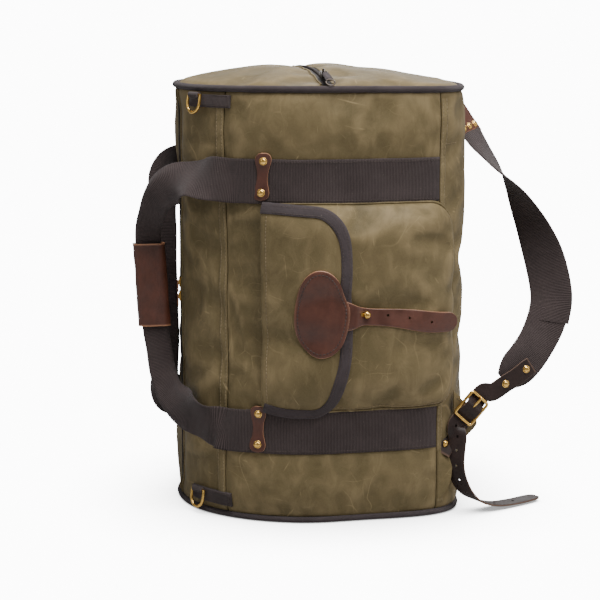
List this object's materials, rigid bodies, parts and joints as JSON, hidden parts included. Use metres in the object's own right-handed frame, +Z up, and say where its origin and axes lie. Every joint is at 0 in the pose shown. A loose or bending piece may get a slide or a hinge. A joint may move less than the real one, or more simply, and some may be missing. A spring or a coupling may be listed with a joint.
{
  "type": "duffel bag",
  "caption": "Waxed canvas duffel bag standing on its end, with webbing handles, a flap pocket, a long zip and padded backpack straps with buckles.",
  "frame": {"origin": "middle of the flat end that the bag stands on", "axes": "+Z up along the bag, -X towards the main zip and the handles, +X the base with the backpack straps, -Y the side with the flap pocket"},
  "size_m": [0.5265, 0.3557, 0.5318],
  "materials": {
    "waxed_canvas": "waxed, dry and slightly creased",
    "cotton_webbing": "coarse ribbed weave",
    "cotton_binding": "matt woven tape",
    "brown_leather": "smooth with a soft sheen",
    "dark_leather": "smooth with a soft sheen",
    "brass": "polished",
    "zip_tape": "woven tape with a moulded chain"
  },
  "bodies": {
    "shell": {"back_panel": "waxed_canvas", "band_back_lower": "cotton_webbing", "band_back_upper": "cotton_webbing", "band_front_lower": "cotton_webbing", "band_front_upper": "cotton_webbing", "base_panel": "waxed_canvas", "chape_back_lower": "brown_leather", "chape_back_upper": "brown_leather", "chape_front_lower": "brown_leather", "chape_front_upper": "brown_leather", "d_ring_tab_bottom": "cotton_webbing", "d_ring_tab_top": "cotton_webbing", "end_panel_bottom": "waxed_canvas", "end_panel_top": "waxed_canvas", "end_zip_tape": "zip_tape", "front_panel": "waxed_canvas", "piping_bottom": "cotton_binding", "piping_top": "cotton_binding", "pocket_body": "waxed_canvas", "pocket_stud": "brass", "rivet_back_lower_a": "brass", "rivet_back_lower_b": "brass", "rivet_back_upper_a": "brass", "rivet_back_upper_b": "brass", "rivet_front_lower_a": "brass", "rivet_front_lower_b": "brass", "rivet_front_upper_a": "brass", "rivet_front_upper_b": "brass", "strap_chape_a": "brown_leather", "strap_chape_b": "brown_leather", "strap_wing_a": "waxed_canvas", "strap_wing_b": "waxed_canvas", "zip_panel_back": "waxed_canvas", "zip_panel_front": "waxed_canvas", "zip_teeth_back": "zip_tape", "zip_teeth_front": "zip_tape"},
    "end_slider": {"end_zip_slider": "brass"},
    "end_pull": {"end_zip_pull": "dark_leather"},
    "upper_slider": {"main_slider_upper": "brass"},
    "lower_slider": {"main_slider_lower": "brass"},
    "upper_pull": {"main_pull_upper": "brown_leather"},
    "lower_pull": {"main_pull_lower": "brown_leather"},
    "handle_front": {"handle_front": "cotton_webbing", "handle_sleeve": "brown_leather"},
    "handle_back": {"handle_back": "cotton_webbing"},
    "ring_top": {"d_ring_top": "brass"},
    "ring_bottom": {"d_ring_bottom": "brass"},
    "flap": {"pocket_flap": "waxed_canvas", "flap_binding": "cotton_binding", "oval_patch": "brown_leather"},
    "tongue": {"flap_tongue": "brown_leather"},
    "strap_a": {"strap_webbing_a": "cotton_webbing", "strap_leather_a": "dark_leather", "buckle_frame_a": "brass"},
    "strap_b": {"strap_webbing_b": "cotton_webbing", "strap_leather_b": "dark_leather", "buckle_frame_b": "brass"},
    "prong_a": {"buckle_prong_a": "brass"},
    "prong_b": {"buckle_prong_b": "brass"},
    "tail_a": {"strap_tail_a": "dark_leather"}
  },
  "joints": [
    {"name": "end_slider_travel", "type": "hinge", "parent": "shell", "child": "end_slider", "pos_m": [-0.008, 0, 0.09987], "axis": [-1, 0, 0], "range_deg": [0, 27]},
    {"name": "end_pull_lift", "type": "hinge", "parent": "end_slider", "child": "end_pull", "pos_m": [-0.008, -0.11521, 0.52331], "axis": [-1, 0, 0], "range_deg": [0, 110]},
    {"name": "upper_slider_travel", "type": "slide", "parent": "shell", "child": "upper_slider", "axis": [0, 0, 1], "range_m": [0, 0.2]},
    {"name": "lower_slider_travel", "type": "slide", "parent": "shell", "child": "lower_slider", "axis": [0, 0, -1], "range_m": [0, 0.22]},
    {"name": "upper_pull_swing", "type": "hinge", "parent": "upper_slider", "child": "upper_pull", "pos_m": [-0.17445, 0, 0.269], "axis": [1, 0, 0], "range_deg": [-50, 18]},
    {"name": "lower_pull_swing", "type": "hinge", "parent": "lower_slider", "child": "lower_pull", "pos_m": [-0.17445, 0, 0.252], "axis": [1, 0, 0], "range_deg": [-50, 18]},
    {"name": "handle_front_swing", "type": "hinge", "parent": "shell", "child": "handle_front", "pos_m": [-0.09668, -0.12027, 0.2545], "axis": [0, 0, 1], "range_deg": [0, 70]},
    {"name": "handle_back_swing", "type": "hinge", "parent": "shell", "child": "handle_back", "pos_m": [-0.09668, 0.12027, 0.2545], "axis": [0, 0, -1], "range_deg": [0, 70]},
    {"name": "ring_top_swing", "type": "hinge", "parent": "shell", "child": "ring_top", "pos_m": [-0.15253, -0.0719, 0.497], "axis": [-0.5113, 0.8594, 0], "range_deg": [0, 100]},
    {"name": "ring_bottom_swing", "type": "hinge", "parent": "shell", "child": "ring_bottom", "pos_m": [-0.15253, -0.0719, 0.028], "axis": [-0.5113, 0.8594, 0], "range_deg": [0, 100]},
    {"name": "flap_open", "type": "hinge", "parent": "shell", "child": "flap", "pos_m": [-0.0874, -0.13472, 0.25], "axis": [0, 0, -1], "range_deg": [0, 100]},
    {"name": "tongue_lift", "type": "hinge", "parent": "flap", "child": "tongue", "pos_m": [0.015, -0.16175, 0.25006], "axis": [0, 0, -1], "range_deg": [0, 45]},
    {"name": "strap_a_swing", "type": "hinge", "parent": "shell", "child": "strap_a", "pos_m": [0.1895, -0.057, 0.4415], "axis": [-0.0535, -0.2169, -0.9747], "range_deg": [-14, 1]},
    {"name": "strap_b_swing", "type": "hinge", "parent": "shell", "child": "strap_b", "pos_m": [0.184, 0.056, 0.4415], "axis": [-0.0208, 0.1992, -0.9797], "range_deg": [-12, 7]},
    {"name": "prong_a_lift", "type": "hinge", "parent": "strap_a", "child": "prong_a", "pos_m": [0.172, -0.128, 0.1225], "axis": [0.7363, 0, -0.6766], "range_deg": [0, 60]},
    {"name": "prong_b_lift", "type": "hinge", "parent": "strap_b", "child": "prong_b", "pos_m": [0.177, 0.123, 0.112], "axis": [-0.421, 0.7073, 0.5679], "range_deg": [0, 60]},
    {"name": "tail_a_swing", "type": "hinge", "parent": "shell", "child": "tail_a", "pos_m": [0.15951, -0.12511, 0.1089], "axis": [0, 0, 1], "range_deg": [0, 6]}
  ]
}
